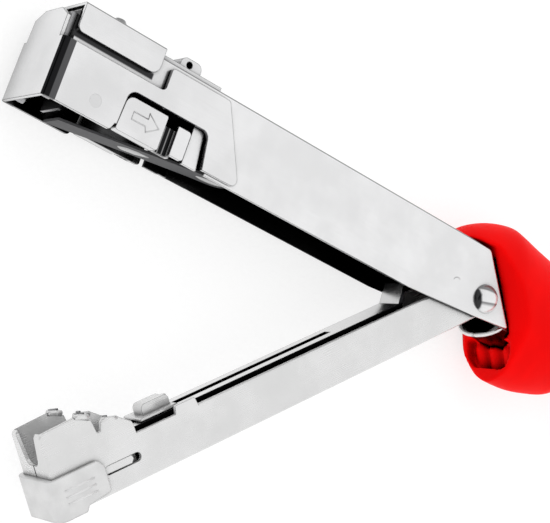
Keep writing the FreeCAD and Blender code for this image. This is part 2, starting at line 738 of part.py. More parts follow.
def rail_foot():
    """Base plate that joins the rail to the magazine's floor."""
    base = size("magazine_bottom") + size("magazine_wall")
    inner = size("rail_width") - 2 * size("rail_wall") - 0.04
    top = base + RAIL_FOOT_THICKNESS
    body = side_pad("rail_foot", [(-128.0, base), (-40.0, base), (-40.0, top), (-128.0, top)], inner)
    top_hole(body, RAIL_RIVETS, RIVET_RADIUS, base + 3, 6)
    return finished(body, MAGAZINE)


def feed_track():
    """Low continuation of the rail that carries staples into the nose."""
    base = size("magazine_bottom") + size("magazine_wall")
    front = size("nose_front") + size("magazine_wall") + 2.0
    rear = size("rail_front") - 1.0
    top = 6.4
    outline = [(front, base), (front, top, 1.0), (rear - 3.0, top), (rear, 5.0), (rear, base)]
    body = side_pad("feed_track", outline, "Sizes.rail_width")
    side_hole(body, *SHOE_PIN, SHOE_PIN_RADIUS)
    return finished(body, MAGAZINE)


def pusher():
    """Plate that slides on the rail's top and pushes the staples forward, with a curled finger tab."""
    top = size("rail_top")
    front = size("pusher_front")
    rear = front + PUSHER_LENGTH
    wall = 0.8
    under = top + SLIDE_GAP
    crown = under + wall
    body = side_pad("pusher", [(front, under), (front, crown, 0.4), (rear, crown, 0.4), (rear, under)],
                    "Sizes.rail_width")
    tab_top = top + 4.4
    tab = draw_outline(sketch_on(body, "XZ_Plane"), [
        (front + 2.5, under + 0.5), (front + 2.5, tab_top, 1.6), (front + 12.5, tab_top, 1.6),
        (front + 12.5, under + 0.5)])
    pad(body, tab, 5.0)
    return finished(body, MAGAZINE)


def pusher_key():
    """Block inside the rail that the spring bears on, with a web up through the slot to the pusher."""
    wall = size("rail_wall")
    start = size("pusher_front") + KEY_START
    half = size("rail_width") / 2 - wall - SLIDE_GAP
    height = 7.0
    top = size("rail_top") - wall - SLIDE_GAP
    block = Part.makeBox(KEY_LENGTH, 2 * half, height, Vector(start, -half, top - height))
    web_top = size("rail_top") + SLIDE_GAP
    web = Part.makeBox(KEY_LENGTH, WEB_WIDTH, web_top - top + 1, Vector(start, -WEB_WIDTH / 2, top - 1))
    block = block.fuse(web).removeSplitter()
    bore_start = Vector(start - 2, 0, ROD_HEIGHT)
    bore = Part.makeCylinder(ROD_RADIUS + 0.25, KEY_LENGTH + 4, bore_start, Vector(1, 0, 0))
    return finished(shaped("pusher_key", block.cut(bore)), MAGAZINE)


def spring_rod():
    """Rod that keeps the pusher spring straight, seated in the rear plug."""
    front = -136.0
    seat = 2.5
    length = PLUG_FRONT + seat - front
    rod = Part.makeCylinder(ROD_RADIUS, length, Vector(front, 0, ROD_HEIGHT), Vector(1, 0, 0))
    return finished(shaped("spring_rod", rod), MAGAZINE)


def rear_plug():
    """Block that closes the rail and holds the spring rod."""
    clear = 0.02
    top = size("rail_top") - size("rail_wall") - clear
    half = size("rail_width") / 2 - size("rail_wall") - clear
    height = 8.0
    block = Part.makeBox(5, 2 * half, height, Vector(PLUG_FRONT, -half, top - height))
    seat = Part.makeCylinder(ROD_RADIUS, 3.0, Vector(PLUG_FRONT - 0.5, 0, ROD_HEIGHT), Vector(1, 0, 0))
    return finished(shaped("rear_plug", block.cut(seat)), MAGAZINE)


def pusher_spring():
    """Long coil round the rod, from the rear plug to the pusher key."""
    start = size("pusher_front") + KEY_START + KEY_LENGTH + SPRING_WIRE
    length = PLUG_FRONT - SPRING_WIRE - start
    solid = coil(1.9, SPRING_WIRE, length / SPRING_TURNS, SPRING_TURNS, Vector(start, 0, ROD_HEIGHT),
                 Vector(1, 0, 0))
    return finished(shaped("pusher_spring", solid), MAGAZINE)


def hinge_bush():
    """Tube on the hinge pin that holds the magazine's walls apart."""
    half = size("magazine_width") / 2 - size("magazine_wall")
    bore = size("pin_diameter") / 2 + size("pin_clearance")
    ring = cylinder_across(0, 0, 4.4, -half, half).cut(cylinder_across(0, 0, bore, -half - 1, half + 1))
    return finished(shaped("hinge_bush", ring), MAGAZINE)


# ---------------------------------------------------------------- assembly


def build_arm():
    main_channel()
    head_jacket()
    head_cover()
    top_strap()
    base = size("arm_top")
    rivets("cover_rivets", COVER_RIVETS, ARM, base - 1.2, strap_top() + 1.0, 2.6, 2.2)
    rivets("strap_rivets", STRAP_RIVETS, ARM, base - 1.2, strap_top(), 2.2, 0.6)
    rivets("tongue_rivets", TONGUE_RIVETS, ARM, base - 2.4, base, 2.2, 0.7)
    driver_holder()
    driver_blade()
    driver_rivets()
    return_spring()
    spring_crossbar()
    hinge_pin()
    hinge_washers()
    handle_tube()
    grip()


def build_latch():
    latch_slider()
    latch_spring()


def build_magazine():
    magazine_channel()
    nose_shoe()
    shoe_pin()
    feed_track()
    staple_rail()
    rail_foot()
    base = size("magazine_bottom")
    foot_top = base + size("magazine_wall") + RAIL_FOOT_THICKNESS
    rivets("rail_rivets", RAIL_RIVETS, MAGAZINE, base, foot_top, 2.4, 0.8)
    pusher()
    pusher_key()
    spring_rod()
    rear_plug()
    pusher_spring()
    hinge_bush()


def lie_on_floor():
    """Moves every piece so that the origin is under the middle of the whole tool."""
    box = FreeCAD.BoundBox()
    for piece in PIECES:
        box.add(piece.Shape.optimalBoundingBox(False, False))
    shift = Vector(-box.Center.x, -box.Center.y, -box.ZMin)
    for piece in PIECES:
        placement = piece.Placement
        placement.Base = placement.Base + shift
        piece.Placement = placement
    DOC.recompute()
    print("hinge pin at", tuple(round(c, 4) for c in shift))


def check_document():
    """Stops if any object failed or any sub-part has no sound shape."""
    for thing in DOC.Objects:
        if {"Invalid", "Error"} & set(thing.State):
            raise RuntimeError(f"{thing.Label} failed: {thing.State}")
    for piece in PIECES:
        if piece.Shape.isNull() or not piece.Shape.isValid() or not piece.Shape.Solids:
            raise RuntimeError(f"{piece.Label} has no sound shape")


def export():
    os.makedirs("parts", exist_ok=True)
    for piece in PIECES:
        piece.Shape.exportStep(os.path.join("parts", piece.Label + ".step"))
    print(len(PIECES), "sub-parts written")


build_arm()
build_latch()
build_magazine()
DOC.recompute()
lie_on_floor()
check_document()
export()
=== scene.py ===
"""Looks for the hammer tacker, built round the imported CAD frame. Units are metres."""

import json
import math

import bmesh
import bpy
from mathutils import Matrix, Vector


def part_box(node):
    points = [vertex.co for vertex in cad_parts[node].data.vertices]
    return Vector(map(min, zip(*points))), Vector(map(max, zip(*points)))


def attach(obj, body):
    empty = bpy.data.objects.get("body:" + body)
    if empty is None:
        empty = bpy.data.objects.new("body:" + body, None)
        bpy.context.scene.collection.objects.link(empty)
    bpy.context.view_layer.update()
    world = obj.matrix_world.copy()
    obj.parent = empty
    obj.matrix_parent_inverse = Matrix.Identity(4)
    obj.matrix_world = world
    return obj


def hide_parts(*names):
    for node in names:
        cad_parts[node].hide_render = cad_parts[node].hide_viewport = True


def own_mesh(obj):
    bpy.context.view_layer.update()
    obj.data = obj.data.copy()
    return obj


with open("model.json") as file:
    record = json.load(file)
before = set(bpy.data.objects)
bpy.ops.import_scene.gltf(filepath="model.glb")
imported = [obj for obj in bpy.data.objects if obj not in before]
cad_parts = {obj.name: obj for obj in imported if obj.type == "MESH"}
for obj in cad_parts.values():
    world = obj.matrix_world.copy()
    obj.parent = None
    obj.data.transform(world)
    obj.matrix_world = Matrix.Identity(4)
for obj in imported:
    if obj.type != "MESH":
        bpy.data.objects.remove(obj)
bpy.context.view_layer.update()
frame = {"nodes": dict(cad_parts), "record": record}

MM = 0.001
ARM_SLOPE = math.radians(22.84)
MAGAZINE_SLOPE = math.radians(-18.43)


# ---------------------------------------------------------------- working frames


def centre(node):
    """The middle of a CAD node's box."""
    low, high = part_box(node)
    return (low + high) / 2


PIN = centre("hinge_pin")
ON_ITS_SIDE = Matrix.Rotation(math.radians(-90), 4, "X")


def part_frame(slope):
    """From millimetres rearwards, across and upwards of the pin, in a sloping part, to the scene."""
    turn = Matrix.Rotation(slope, 4, "Y")
    return Matrix.Translation(PIN) @ ON_ITS_SIDE @ turn @ Matrix.Scale(MM, 4)


ARM = part_frame(ARM_SLOPE)
MAGAZINE = part_frame(MAGAZINE_SLOPE)


# ---------------------------------------------------------------- node helpers


class Nodes:
    """Short calls for building a node tree."""

    def __init__(self, tree):
        self.tree = tree

    def add(self, kind, **settings):
        node = self.tree.nodes.new(kind)
        for key, value in settings.items():
            setattr(node, key, value)
        return node

    def link(self, source, target):
        self.tree.links.new(source, target)

    def value(self, socket, value):
        if isinstance(value, (int, float)):
            socket.default_value = value
        else:
            self.link(value, socket)

    def math(self, operation, a, b=0.0, clamp=False):
        node = self.add("ShaderNodeMath", operation=operation, use_clamp=clamp)
        self.value(node.inputs[0], a)
        self.value(node.inputs[1], b)
        return node.outputs[0]

    def span(self, source, low, high, out_low=0.0, out_high=1.0):
        """Maps a value from one span to another, smoothly and clamped."""
        node = self.add("ShaderNodeMapRange", interpolation_type="SMOOTHSTEP")
        self.value(node.inputs["Value"], source)
        node.inputs["From Min"].default_value = low
        node.inputs["From Max"].default_value = high
        node.inputs["To Min"].default_value = out_low
        node.inputs["To Max"].default_value = out_high
        return node.outputs["Result"]

    def mix(self, factor, a, b):
        """Mixes two colours, given as triples or sockets."""
        node = self.add("ShaderNodeMix", data_type="RGBA")
        self.value(node.inputs["Factor"], factor)
        for socket, colour in ((node.inputs[6], a), (node.inputs[7], b)):
            if isinstance(colour, tuple):
                socket.default_value = (*colour, 1)
            else:
                self.link(colour, socket)
        return node.outputs[2]

    def noise(self, vector, scale, detail=3.0, roughness=0.5):
        node = self.add("ShaderNodeTexNoise")
        self.link(vector, node.inputs["Vector"])
        node.inputs["Scale"].default_value = scale
        node.inputs["Detail"].default_value = detail
        node.inputs["Roughness"].default_value = roughness
        return node.outputs["Fac"]

    def coordinates(self, kind="Object"):
        return self.add("ShaderNodeTexCoord").outputs[kind]

    def turned(self, source, slope):
        """A vector turned into a sloping part's own directions."""
        turn = self.add("ShaderNodeMapping")
        turn.inputs["Rotation"].default_value = (0, 0, slope)
        self.link(source, turn.inputs["Vector"])
        return turn.outputs[0]

    def along(self, slope, stretch):
        """Object coordinates turned along a sloping part, and stretched along its length."""
        scale = self.add("ShaderNodeMapping")
        scale.inputs["Scale"].default_value = (1 / stretch, 1, 1)
        self.link(self.turned(self.coordinates(), slope), scale.inputs["Vector"])
        return scale.outputs[0]

    def place(self, slope):
        """Lengthwise, upward and sideways distance from the pin, in a sloping part's frame."""
        shift = self.add("ShaderNodeVectorMath", operation="SUBTRACT")
        self.link(self.coordinates(), shift.inputs[0])
        shift.inputs[1].default_value = PIN
        parts = self.add("ShaderNodeSeparateXYZ")
        self.link(self.turned(shift.outputs[0], slope), parts.inputs[0])
        sideways = self.math("ABSOLUTE", parts.outputs[2])
        return parts.outputs[0], parts.outputs[1], sideways

    def within(self, source, low, high, soft=0.08):
        """1 inside a stretch given in millimetres, 0 outside it."""
        rise = self.span(source, (low - soft) * MM, (low + soft) * MM)
        fall = self.span(source, (high - soft) * MM, (high + soft) * MM, 1.0, 0.0)
        return self.math("MULTIPLY", rise, fall)

    def dot(self, source, direction):
        """How far a vector points along a direction, which is fixed or another socket."""
        node = self.add("ShaderNodeVectorMath", operation="DOT_PRODUCT")
        self.link(source, node.inputs[0])
        if isinstance(direction, bpy.types.NodeSocket):
            self.link(direction, node.inputs[1])
        else:
            node.inputs[1].default_value = direction
        return node.outputs["Value"]

    def normal(self):
        return self.add("ShaderNodeNewGeometry").outputs["Normal"]

    def facing(self, direction, low, high):
        """Rises from 0 to 1 as the surface turns towards a direction."""
        return self.span(self.dot(self.normal(), direction), low, high)

    def openness(self, reach, low, high):
        """0 deep in a hollow and 1 in the open, looking as far as a reach in millimetres."""
        around = self.add("ShaderNodeAmbientOcclusion", samples=8)
        around.inputs["Distance"].default_value = reach * MM
        return self.span(around.outputs["AO"], low, high)

    def rounded(self, radius):
        """The surface's direction, with edges rounded by a radius in millimetres."""
        soft = self.add("ShaderNodeBevel", samples=6)
        soft.inputs["Radius"].default_value = radius * MM
        return soft.outputs[0]

    def bump(self, height, strength, distance, base=None):
        """The surface's direction, roughened by a height, over a distance in millimetres."""
        node = self.add("ShaderNodeBump")
        node.inputs["Strength"].default_value = strength
        node.inputs["Distance"].default_value = distance * MM
        self.link(height, node.inputs["Height"])
        if base is not None:
            self.link(base, node.inputs["Normal"])
        return node.outputs[0]


BLACK = (0.012, 0.012, 0.013)
DARK = (0.085, 0.085, 0.088)
RIDGE_SHADE = (0.05, 0.05, 0.052)
COVER_SHADE = (0.035, 0.035, 0.037)
RIB_GLINT = (0.5, 0.5, 0.5)
RED_SHADE = (0.10, 0.004, 0.004)


def new_material(name):
    """An empty material with its node builder and its shader."""
    material = bpy.data.materials.new(name)
    material.use_nodes = True
    nodes = Nodes(material.node_tree)
    shader = material.node_tree.nodes["Principled BSDF"]
    return material, nodes, shader


def toned(colour, share):
    """A colour made lighter or darker."""
    return tuple(min(1.0, c * share) for c in colour)


def part_up(slope):
    """The direction of a sloping part's upper side."""
    return Vector((math.sin(slope), math.cos(slope), 0))


def metal(name, colour, roughness, slope, hollow=0.0, hollow_tone=0.02, grain=0.12, edge=0.35,
          edge_tone=0.3, ridge=0.8, metallic=1.0, shine=0.5, dark_bands=None):
    """Plated sheet metal: rolling grain, faint smears, painted dark reflections on edges and bends,
    and painted shade in hollows.

    hollow and edge are millimetres. ridge sets the strength of the painted shade on the bend between
    the top and the sides.
    dark_bands adds painted shade and painted reflections at fixed places.
    """
    material, n, shader = new_material(name)
    rolled = n.along(slope, 26.0)
    plain = n.along(slope, 1.0)
    lines = n.noise(rolled, 2600.0, 4.0, 0.6)
    smears = n.noise(plain, 55.0, 4.0, 0.55)
    pits = n.noise(plain, 2400.0, 2.0)
    shade = toned(colour, 0.93)
    tone = n.mix(n.span(smears, 0.3, 0.7), shade, toned(colour, 1.05))
    tone = n.mix(n.span(lines, 0.35, 0.65, 0.0, 0.18), tone, shade)
    # painted shade in hollows, from ambient occlusion
    if hollow:
        tone = n.mix(n.openness(hollow, 0.30, 0.92), toned(colour, hollow_tone), tone)
    # painted dark reflection along edges
    soft = n.rounded(edge)
    flat = n.span(n.dot(soft, n.normal()), 0.86, 0.985)
    tone = n.mix(flat, toned(colour, edge_tone), tone)
    # painted shade on the bend between the top and the sides
    if ridge:
        up = part_up(slope)
        sloped = n.math("MULTIPLY", n.facing(up, 0.30, 0.45),
                        n.math("SUBTRACT", 1.0, n.facing(up, 0.86, 0.96)))
        tone = n.mix(n.math("MULTIPLY", sloped, ridge), tone, RIDGE_SHADE)
    if dark_bands:
        tone = dark_bands(n, tone)
    n.link(tone, shader.inputs["Base Color"])
    rough = n.math("ADD", n.span(smears, 0.25, 0.75, -0.05, 0.05), roughness)
    rough = n.math("ADD", rough, n.span(lines, 0.3, 0.7, -0.03, 0.03))
    n.link(rough, shader.inputs["Roughness"])
    shader.inputs["Metallic"].default_value = metallic
    shader.inputs["Specular IOR Level"].default_value = shine
    relief = n.math("ADD", lines, n.math("MULTIPLY", pits, 0.5))
    n.link(n.bump(relief, grain, 0.02, soft), shader.inputs["Normal"])
    return material


def cast_metal(name, colour):
    """Matte cast metal with a fine sandy skin."""
    material, n, shader = new_material(name)
    plain = n.along(MAGAZINE_SLOPE, 1.0)
    sand = n.noise(plain, 3200.0, 3.0, 0.7)
    cloud = n.noise(plain, 140.0, 3.0)
    shade = toned(colour, 0.9)
    tone = n.mix(n.span(cloud, 0.3, 0.7), shade, toned(colour, 1.06))
    n.link(n.mix(n.span(sand, 0.4, 0.62, 0.0, 0.25), tone, shade), shader.inputs["Base Color"])
    n.link(n.span(cloud, 0.3, 0.7, 0.38, 0.5), shader.inputs["Roughness"])
    shader.inputs["Metallic"].default_value = 0.75
    n.link(n.bump(sand, 0.12, 0.05, n.rounded(0.9)), shader.inputs["Normal"])
    return material


def moulded_plastic(name, colour):
    """Smooth soft plastic with a very fine spark-eroded skin, and painted shade in hollows."""
    material, n, shader = new_material(name)
    plain = n.along(ARM_SLOPE, 1.0)
    skin = n.noise(plain, 4200.0, 2.0, 0.6)
    flow = n.noise(plain, 45.0, 3.0)
    tone = n.mix(n.span(flow, 0.3, 0.7), toned(colour, 0.9), toned(colour, 1.06))
    # painted shade in hollows
    tone = n.mix(n.openness(9.0, 0.10, 0.78), toned(colour, 0.22), tone)
    n.link(tone, shader.inputs["Base Color"])
    n.link(n.span(flow, 0.3, 0.7, 0.4, 0.52), shader.inputs["Roughness"])
    shader.inputs["Specular IOR Level"].default_value = 0.03
    n.link(n.bump(skin, 0.12, 0.03), shader.inputs["Normal"])
    return material


def channel_bands(n, tone):
    """Shade inside the arm, at its front end, and on its side just under the head cover."""
    along, up, sideways = n.place(ARM_SLOPE)
    inside = n.math("MULTIPLY", n.within(sideways, -1.0, 10.4), n.within(up, -40.0, 16.3))
    tone = n.mix(n.math("MULTIPLY", inside, 0.88), tone, BLACK)
    tone = n.mix(n.within(along, -179.0, -177.3), tone, BLACK)
    under_cover = n.math("MULTIPLY", n.within(along, -178.5, -149.4, 0.3),
                         n.within(up, 8.9, 10.9, 0.3))
    return n.mix(under_cover, tone, COVER_SHADE)


def jacket_bands(n, tone):
    """Painted shade inside the head, and a painted dark double reflection down each vertical bend at
    its front.
    """
    along, up, sideways = n.place(ARM_SLOPE)
    inside = n.math("MULTIPLY", n.within(sideways, -1.0, 11.9), n.within(along, -179.9, -100.0))
    inside = n.math("MULTIPLY", inside, n.within(up, -40.0, 9.0))
    tone = n.mix(n.math("MULTIPLY", inside, 0.9), tone, BLACK)
    # painted reflection: a black band and a dark grey band down each front bend
    outside = n.math("MULTIPLY", n.within(sideways, 11.75, 30.0, 0.1), n.within(up, -30.0, 9.0, 0.1))
    grey = n.math("MULTIPLY", outside, n.within(along, -182.0, -176.7))
    black = n.math("MULTIPLY", outside, n.within(along, -182.0, -178.7, 0.15))
    return n.mix(black, n.mix(grey, tone, DARK), BLACK)


def latch_bands(n, tone):
    """Painted shade inside the latch, and a painted reflection on the bend between each plate and
    its finger tab: dark, with light stripes.
    """
    along, _, sideways = n.place(ARM_SLOPE)
    tone = n.mix(n.math("MULTIPLY", n.within(sideways, -1.0, 9.7), 0.92), tone, BLACK)
    # painted reflection on the bend: light stripes, called ribs here, painted over black
    bend = n.math("MULTIPLY", n.within(along, -140.5, -136.2, 0.15),
                  n.within(sideways, 9.9, 12.2, 0.1))
    wave = n.math("SINE", n.math("MULTIPLY", along, 3900.0))
    ribs = n.mix(n.span(wave, 0.55, 1.0, 0.0, 0.45), BLACK, RIB_GLINT)
    return n.mix(bend, tone, ribs)


def rail_bands(n, tone):
    """The rail's flanks, which lie in the magazine's shade."""
    flank = n.math("MAXIMUM", n.facing((0, 0, 1), 0.7, 0.9), n.facing((0, 0, -1), 0.7, 0.9))
    return n.mix(flank, tone, BLACK)


def tube_bands(n, tone):
    """Shade on the tube's underside, which faces the grip's recess."""
    return n.mix(n.facing(-part_up(ARM_SLOPE), 0.15, 0.6), tone, RED_SHADE)


def dome_bands(n, tone):
    """Painted reflections: the dark crescent and streak that a polished dome shows."""
    crescent = n.facing((-1, 0, 0), 0.60, 0.74)
    low = n.facing((-0.15, -1, 0), 0.20, 0.27)
    lower = n.facing((-0.15, -1, 0), 0.30, 0.52)
    streak = n.math("MULTIPLY", low, n.math("SUBTRACT", 1.0, lower))
    tone = n.mix(n.math("MULTIPLY", streak, 0.75), tone, DARK)
    return n.mix(crescent, tone, BLACK)


FINISH = {
    "arm_chrome": metal("arm_chrome", (0.76, 0.76, 0.765), 0.20, ARM_SLOPE, hollow=32.0,
                        dark_bands=channel_bands),
    "head_chrome": metal("head_chrome", (0.72, 0.72, 0.725), 0.14, ARM_SLOPE, hollow=26.0,
                         edge=0.45, edge_tone=0.12, dark_bands=jacket_bands),
    "latch_steel": metal("latch_steel", (0.73, 0.73, 0.735), 0.18, ARM_SLOPE, hollow=14.0,
                         dark_bands=latch_bands),
    "magazine_nickel": metal("magazine_nickel", (0.70, 0.70, 0.70), 0.26, MAGAZINE_SLOPE,
                             hollow=3.0, hollow_tone=0.05, grain=0.03, ridge=0, metallic=0.55),
    "cast_ridge": metal("cast_ridge", (0.74, 0.74, 0.74), 0.45, MAGAZINE_SLOPE, grain=0.03,
                        edge=0.05, ridge=0, metallic=0.3),
    "rail_nickel": metal("rail_nickel", (0.74, 0.74, 0.74), 0.2, MAGAZINE_SLOPE, hollow=4.0,
                         ridge=0, dark_bands=rail_bands),
    "shoe_metal": cast_metal("shoe_metal", (0.69, 0.69, 0.69)),
    "grip_red": moulded_plastic("grip_red", (0.93, 0.001, 0.001)),
    "tube_steel": metal("tube_steel", (0.74, 0.74, 0.74), 0.22, ARM_SLOPE, hollow=20.0,
                        dark_bands=tube_bands),
    "tube_rim": metal("tube_rim", (0.80, 0.80, 0.80), 0.3, ARM_SLOPE, ridge=0, metallic=0.5),
    "dimple": metal("dimple", (0.68, 0.68, 0.685), 0.2, ARM_SLOPE, edge=0.05, ridge=0),
    "rivet_steel": metal("rivet_steel", (0.80, 0.80, 0.805), 0.2, ARM_SLOPE, grain=0.05,
                         edge=0.2, metallic=0.35, dark_bands=dome_bands),
    "blade_steel": metal("blade_steel", (0.42, 0.42, 0.43), 0.3, ARM_SLOPE, hollow=10.0),
    "spring_steel": metal("spring_steel", (0.075, 0.075, 0.078), 0.5, ARM_SLOPE, hollow=5.0,
                          metallic=0.15, shine=0.12),
    "spring_bright": metal("spring_bright", (0.52, 0.52, 0.52), 0.3, ARM_SLOPE),
}
NODE_FINISH = {"staple_rail": "rail_nickel"}  # this node differs from the rest of its slot


def finish_cad_nodes():
    """Gives every CAD node its own material, or else that of its slot."""
    slot_of = {part["node"]: part["material_slot"] for part in frame["record"]["subparts"]}
    for name, node in frame["nodes"].items():
        node.data.materials.clear()
        node.data.materials.append(FINISH[NODE_FINISH.get(name, slot_of[name])])


# ---------------------------------------------------------------- mesh helpers


def as_mesh(name, builder):
    """Mesh data from a bmesh, which is used up."""
    mesh = bpy.data.meshes.new(name)
    builder.to_mesh(mesh)
    builder.free()
    return mesh


def in_scene(name, data):
    """A new object in the scene."""
    item = bpy.data.objects.new(name, data)
    bpy.context.scene.collection.objects.link(item)
    return item


def add_piece(name, builder, slot, body, smooth=True, finish=None):
    """Makes a mesh object from a bmesh and puts it on its body."""
    mesh = as_mesh(name, builder)
    piece = in_scene(name, mesh)
    mesh.materials.append(FINISH[finish or slot])
    for face in mesh.polygons:
        face.use_smooth = smooth
    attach(piece, body)
    return piece


def bridge(mesh, rings, closed_ends=True):
    """Joins successive rings of vertices into a skin."""
    count = len(rings[0])
    for first, second in zip(rings, rings[1:]):
        for i in range(count):
            j = (i + 1) % count
            mesh.faces.new((first[i], first[j], second[j], second[i]))
    if closed_ends:
        mesh.faces.new(rings[0][::-1])
        mesh.faces.new(rings[-1])


COIL_STEPS = 20  # per turn


def coil(name, turns, radius, wire, start, end, place, slot, body):
    """A coil spring of even pitch along a part, at a height called place."""
    mesh = bmesh.new()
    steps = turns * COIL_STEPS
    sides = 8
    rings = []
    for i in range(steps + 1):
        share = i / steps
        angle = share * turns * math.tau
        along = start + (end - start) * share
        out = Vector((0, math.cos(angle), math.sin(angle)))
        ring = []
        for k in range(sides):
            turn = k / sides * math.tau
            middle = Vector((along + wire / 2 * math.sin(turn), 0, place))
            ring.append(mesh.verts.new(middle + out * (radius + wire / 2 * math.cos(turn))))
        rings.append(ring)
    bridge(mesh, rings)
    mesh.transform(ARM if body == "arm" else MAGAZINE)
    bmesh.ops.recalc_face_normals(mesh, faces=mesh.faces)
    return add_piece(name, mesh, slot, body)


def closed_mesh(rings):
    """A bmesh skinned over rings of points, closed at both ends."""
    mesh = bmesh.new()
    bridge(mesh, [[mesh.verts.new(p) for p in ring] for ring in rings])
    bmesh.ops.recalc_face_normals(mesh, faces=mesh.faces)
    return mesh


def scratch(mesh):
    """A temporary object for shaping, never part of the scene."""
    return in_scene("scratch", as_mesh("scratch", mesh))


def shape_with(base, tools, remesh=0.0, smooth=0):
    """Adds or cuts solids, then optionally remeshes and smooths. Returns a bmesh in millimetres."""
    target = scratch(base)
    helpers = []
    for operation, tool in tools:
        helper = scratch(tool)
        helpers.append(helper)
        modifier = target.modifiers.new("shape", "BOOLEAN")
        modifier.operation = operation
        modifier.solver = "EXACT"
        modifier.object = helper
    if remesh:
        modifier = target.modifiers.new("skin", "REMESH")
        modifier.mode = "VOXEL"
        modifier.voxel_size = remesh
    if smooth:
        modifier = target.modifiers.new("soft", "SMOOTH")
        modifier.factor = 0.5
        modifier.iterations = smooth
    bpy.context.view_layer.update()
    evaluated = target.evaluated_get(bpy.context.evaluated_depsgraph_get())
    result = bmesh.new()
    result.from_mesh(evaluated.to_mesh())
    evaluated.to_mesh_clear()
    for item in [target] + helpers:
        data = item.data
        bpy.data.objects.remove(item)
        bpy.data.meshes.remove(data)
    return result


def prism(points, half, middle=0.0):
    """A side-view outline, grown to both sides."""
    return closed_mesh([[(x, middle + side * half, z) for x, z in points] for side in (-1, 1)])


def eased(points, steps):
    """A smooth curve through points of any dimension."""
    points = [Vector(p) for p in points]
    curve = []
    for i in range(len(points) - 1):
        p0 = points[max(i - 1, 0)]
        p1 = points[i]
        p2 = points[i + 1]
        p3 = points[min(i + 2, len(points) - 1)]
        for k in range(steps):
            t = k / steps
            curve.append(0.5 * (2 * p1 + (p2 - p0) * t + (2 * p0 - 5 * p1 + 4 * p2 - p3) * t * t
                                + (3 * p1 - p0 - 3 * p2 + p3) * t * t * t))
    return curve + [points[-1]]


# ---------------------------------------------------------------- grip

# along the arm, top, bottom and half width, in millimetres
GRIP_SECTIONS = [
    (-12.0, 18.4, 9.0, 8.0), (-10.9, 20.8, -2.0, 11.6), (-7.4, 24.6, -12.0, 14.6),
    (-0.4, 28.4, -20.0, 16.4), (8.0, 30.8, -22.2, 17.3), (13.0, 30.4, -22.8, 17.5),
    (21.0, 28.8, -23.1, 17.4), (32.0, 27.0, -22.6, 17.0), (42.0, 25.8, -20.4, 16.2),
    (50.0, 25.2, -17.6, 15.5),
    (57.0, 24.9, -11.8, 15.0), (66.0, 24.4, -9.0, 14.7), (76.0, 24.0, -7.6, 14.5),
    (98.0, 22.5, -8.0, 15.0),
    (117.0, 21.5, -11.3, 16.0), (126.0, 20.5, -12.4, 15.6), (131.0, 18.6, -11.0, 14.0),
    (133.0, 14.0, -7.0, 9.0),
]
# the side view of the space that the grip leaves for the arm
MOUTH = [(-80.0, 18.2), (-2.6, 18.2), (15.5, -5.8), (20.4, -18.0), (24.0, -34.0)]
# distance from the middle, and how far the opening has widened there
LIP_FLARE = [(23.0, 15.0), (18.4, 6.4), (17.2, 4.2), (15.8, 2.5), (14.2, 1.2), (12.8, 0.2),
             (11.7, -0.2)]
RECESS_HALF = 10.6
RECESS_ROOF = -9.0
RECESS_LOW = -18.6
RECESS_CORNER = 6.0
RECESS_RIBS = (-6.9, 0.0, 6.9)
RIB_TOP = (22.8, -10.8)
RIB_FOOT = (26.2, -15.9)
RIB_RADIUS = 2.95


FULL_ABOVE = 2.15
LEAN_BELOW = 1.85


def oval(x, top, bottom, half, count=72):
    """A section of the grip, fuller above its middle than below."""
    ring = []
    for i in range(count):
        turn = i / count * math.tau
        c = math.cos(turn)
        d = math.sin(turn)
        power = FULL_ABOVE if d > 0 else LEAN_BELOW
        y = half * math.copysign(abs(c) ** (2 / power), c)
        z = (top + bottom) / 2 + (top - bottom) / 2 * math.copysign(abs(d) ** (2 / power), d)
        ring.append((x, y, z))
    return ring


def outset(points, gap):
    """An open outline moved outwards, away from the arm, by a gap."""
    points = [Vector(p) for p in points]
    normals = []
    for first, second in zip(points, points[1:]):
        step = (second - first).normalized()
        normals.append(Vector((-step.y, step.x)))
    moved = []
    for i, point in enumerate(points):
        before = normals[max(i - 1, 0)]
        after = normals[min(i, len(normals) - 1)]
        middle = (before + after).normalized()
        moved.append(point + middle * (gap / middle.dot(after)))
    return moved


def mouth_cutter():
    """The arm's own outline, flaring sideways so that the grip's lip is left rounded."""
    steps = [(-y, gap) for y, gap in LIP_FLARE] + LIP_FLARE[::-1]
    rings = []
    for y, gap in steps:
        edge = outset(MOUTH, gap)
        rings.append([(p.x, y, p.y) for p in edge] + [(-80.0, y, -34.0)])
    return closed_mesh(rings)


def capsule(start, end, radius):
    """A rod with round ends."""
    axis = (end - start).normalized()
    side = Vector((0, 1, 0))
    up = axis.cross(side)
    rings = []
    stations = []
    for i in range(1, 7):
        turn = i / 6 * math.pi / 2
        stations.append((start, -math.cos(turn), math.sin(turn)))
    for i in range(6):
        turn = i / 6 * math.pi / 2
        stations.append((end, math.sin(turn), math.cos(turn)))
    for base, push, share in stations:
        ring = []
        for k in range(24):
            turn = k / 24 * math.tau
            ring.append(base + axis * (push * radius)
                        + (side * math.cos(turn) + up * math.sin(turn)) * (radius * share))
        rings.append(ring)
    return closed_mesh(rings)


def recess_cutter():
    """A pocket under the tube, with a rounded outline and a floor that leans back with depth."""
    half, roof, low, corner = RECESS_HALF, RECESS_ROOF, RECESS_LOW, RECESS_CORNER
    outline = [(half, roof), (half, low + corner)]
    for side in (1, -1):
        for i in range(9):
            turn = i / 8 * math.pi / 2
            if side < 0:
                turn = math.pi / 2 - turn
            outline.append((side * (half - corner + corner * math.cos(turn)),
                            low + corner - corner * math.sin(turn)))
    outline += [(-half, low + corner), (-half, roof)]
    front = [(2.0, y, z) for y, z in outline]
    back = [(27.0 - (z - roof) * 0.62, y, z) for y, z in outline]
    return closed_mesh([front, back])


